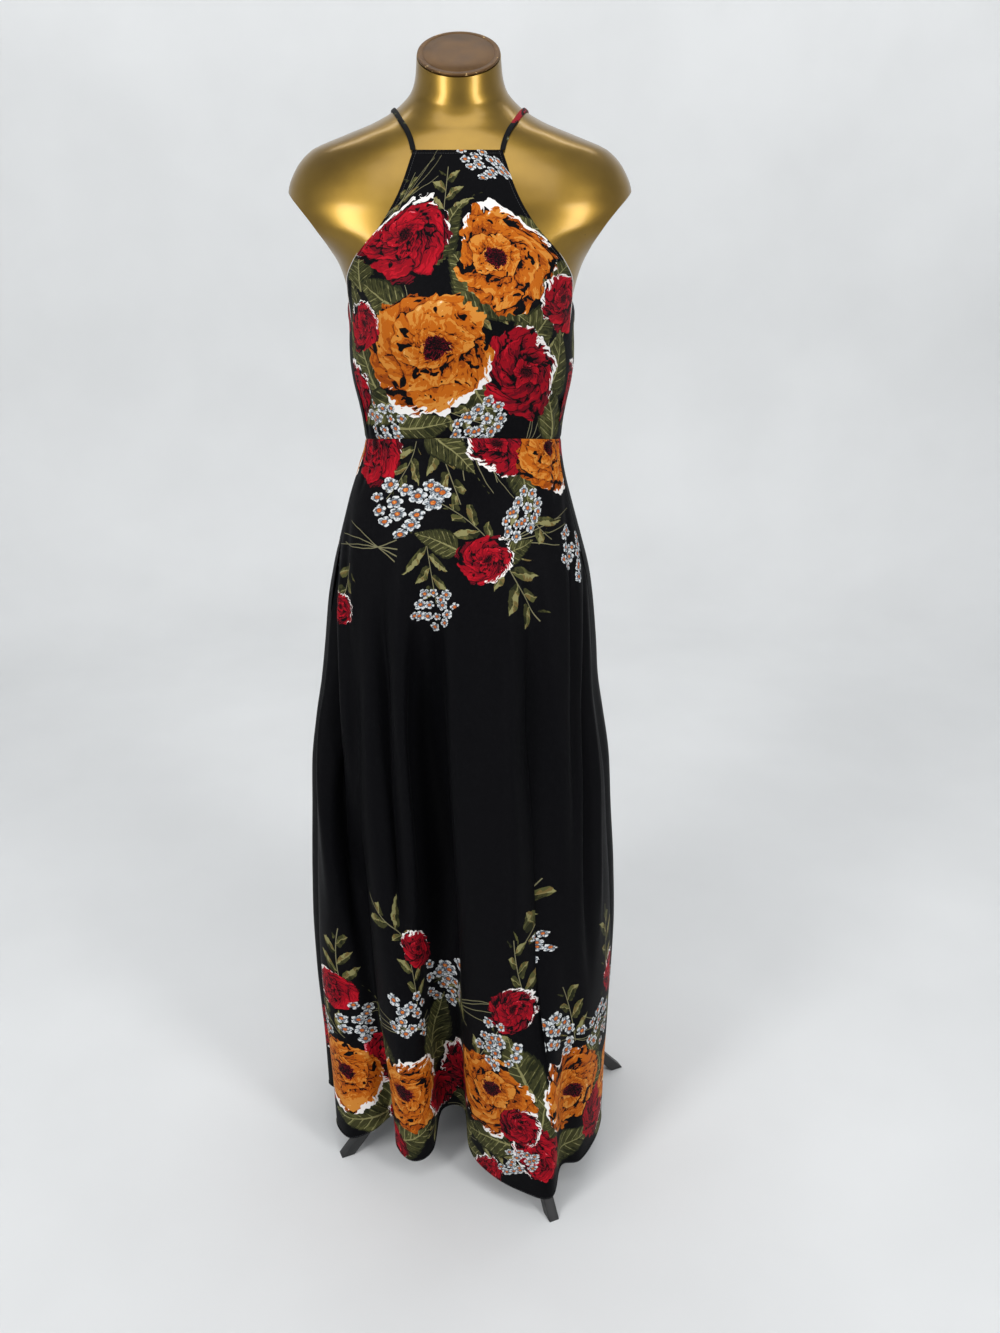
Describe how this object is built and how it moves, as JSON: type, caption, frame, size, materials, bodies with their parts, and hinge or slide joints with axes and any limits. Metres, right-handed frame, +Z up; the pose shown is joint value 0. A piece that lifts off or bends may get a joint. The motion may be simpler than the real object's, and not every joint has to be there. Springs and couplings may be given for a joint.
{
  "type": "maxi dress on a dress form",
  "caption": "Halter-neck maxi dress with narrow straps and a flared, fluted skirt, worn on a limbless dress form with a legged stand.",
  "frame": {"origin": "middle of the whole part's box, on the floor that the stand rests on", "axes": "+Z up, the dress's front faces -Y, +X is the viewer's right when facing its front"},
  "size_m": [0.4944, 0.4696, 1.584],
  "materials": {
    "crepe": "black printed crepe with a floral placement print",
    "gold_lacquer": "satin gold lacquer",
    "cap_bronze": "dull bronze brown",
    "stand_black": "black powder coat"
  },
  "bodies": {
    "root": {"bodice_front": "crepe", "bodice_back": "crepe", "skirt_front": "crepe", "skirt_back": "crepe", "strap_left": "crepe", "strap_right": "crepe", "form_torso": "gold_lacquer", "neck_cap": "cap_bronze", "stand_pole": "stand_black", "stand_hub": "stand_black", "stand_leg_1": "stand_black", "stand_leg_2": "stand_black", "stand_leg_3": "stand_black", "stand_leg_4": "stand_black"}
  },
  "joints": []
}
